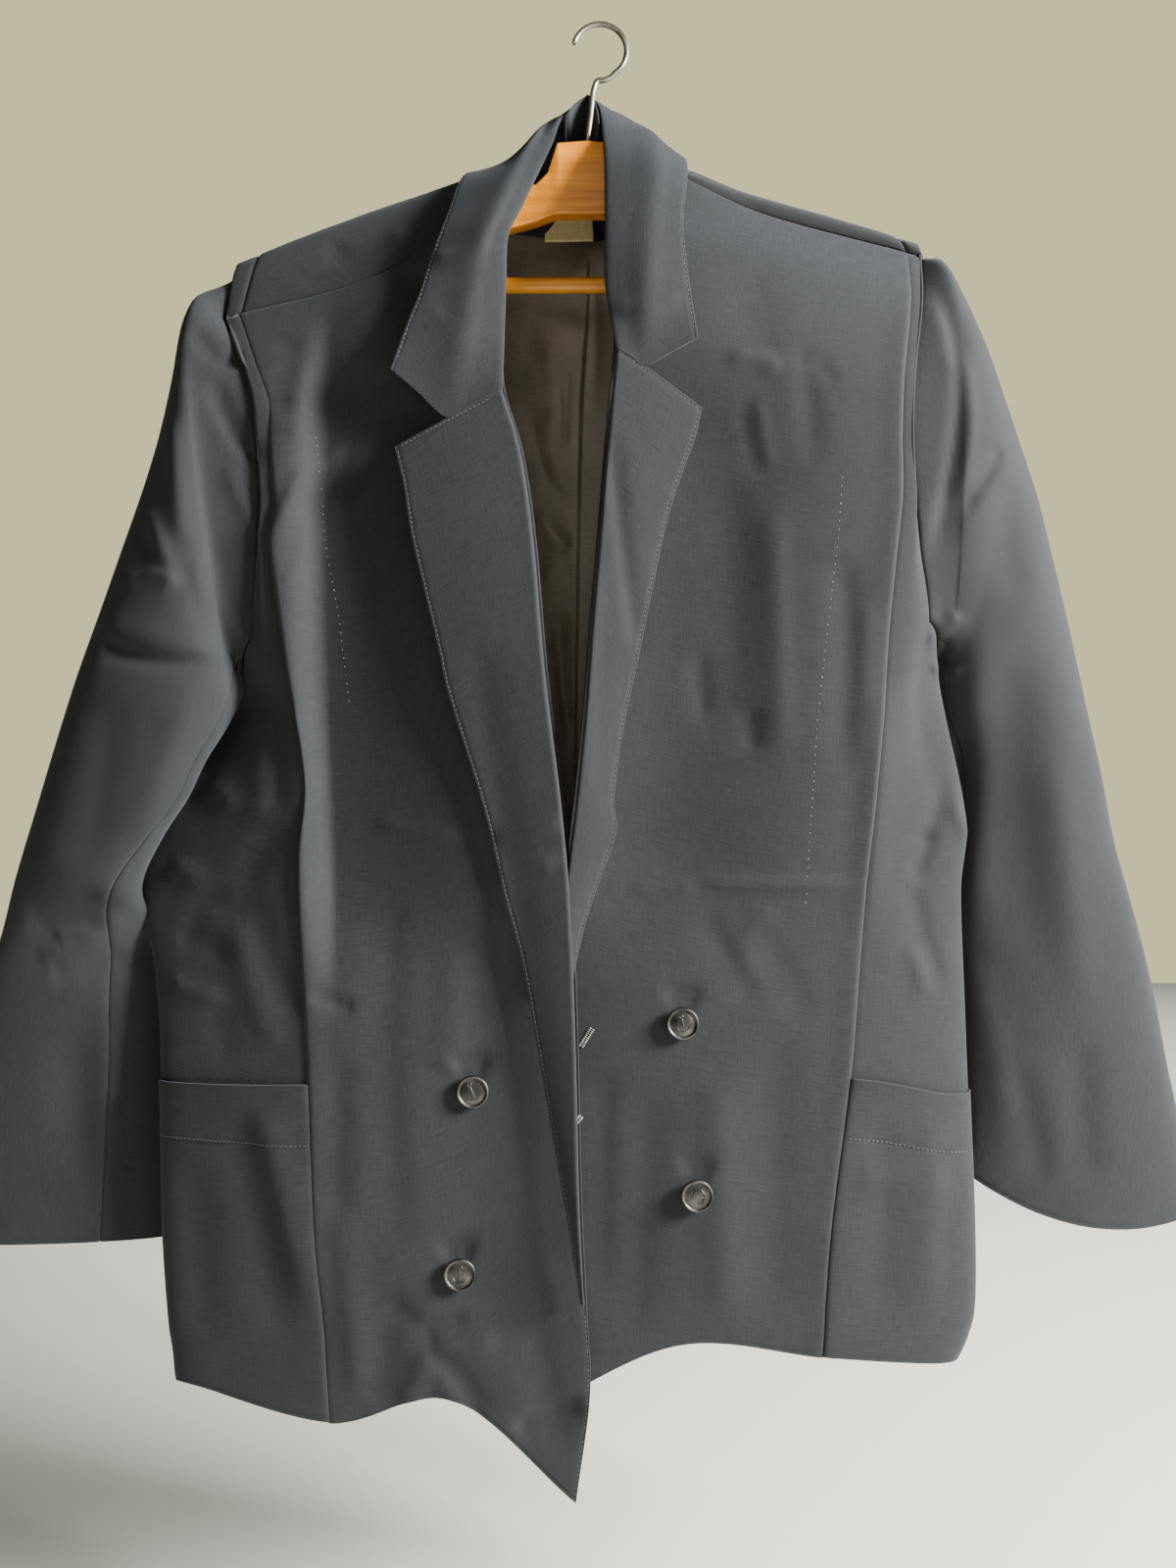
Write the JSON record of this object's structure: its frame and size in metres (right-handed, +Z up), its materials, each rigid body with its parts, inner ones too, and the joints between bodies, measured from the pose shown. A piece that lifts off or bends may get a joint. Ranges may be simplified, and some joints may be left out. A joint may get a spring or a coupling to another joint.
{
  "type": "jacket and hanger",
  "caption": "Double-breasted blazer with notched lapels, wide shoulders and patch pockets, hanging open on a flat wooden hanger with a trouser bar and a wire hook",
  "frame": {"origin": "inner top of the hook's loop, where a rail carries it", "axes": "+Z up, the front faces -Y, +X to the right as the front is seen, so the wearer's left is at +X"},
  "size_m": [0.8469, 0.1, 0.9549],
  "materials": {
    "navy_cloth": "fine plain weave with a soft sheen",
    "satin_lining": "satin",
    "label_cloth": "plain woven tape",
    "button_metal": "dark pewter",
    "hook_wire": "drawn wire",
    "hanger_wood": "clear varnish"
  },
  "bodies": {
    "root": {"front_right": "navy_cloth", "front_left": "navy_cloth", "side_right": "navy_cloth", "side_left": "navy_cloth", "back": "navy_cloth", "upper_sleeve_right": "navy_cloth", "under_sleeve_right": "navy_cloth", "upper_sleeve_left": "navy_cloth", "under_sleeve_left": "navy_cloth", "collar": "navy_cloth", "collar_stand": "navy_cloth", "facing_right": "navy_cloth", "facing_left": "navy_cloth", "pocket_right": "navy_cloth", "pocket_left": "navy_cloth", "neck_facing": "navy_cloth", "back_lining": "satin_lining", "label": "label_cloth", "button_1": "button_metal", "button_2": "button_metal", "button_3": "button_metal", "button_4": "button_metal", "hook": "hook_wire", "hanger_arms": "hanger_wood", "hanger_bar": "hanger_wood"}
  },
  "joints": []
}
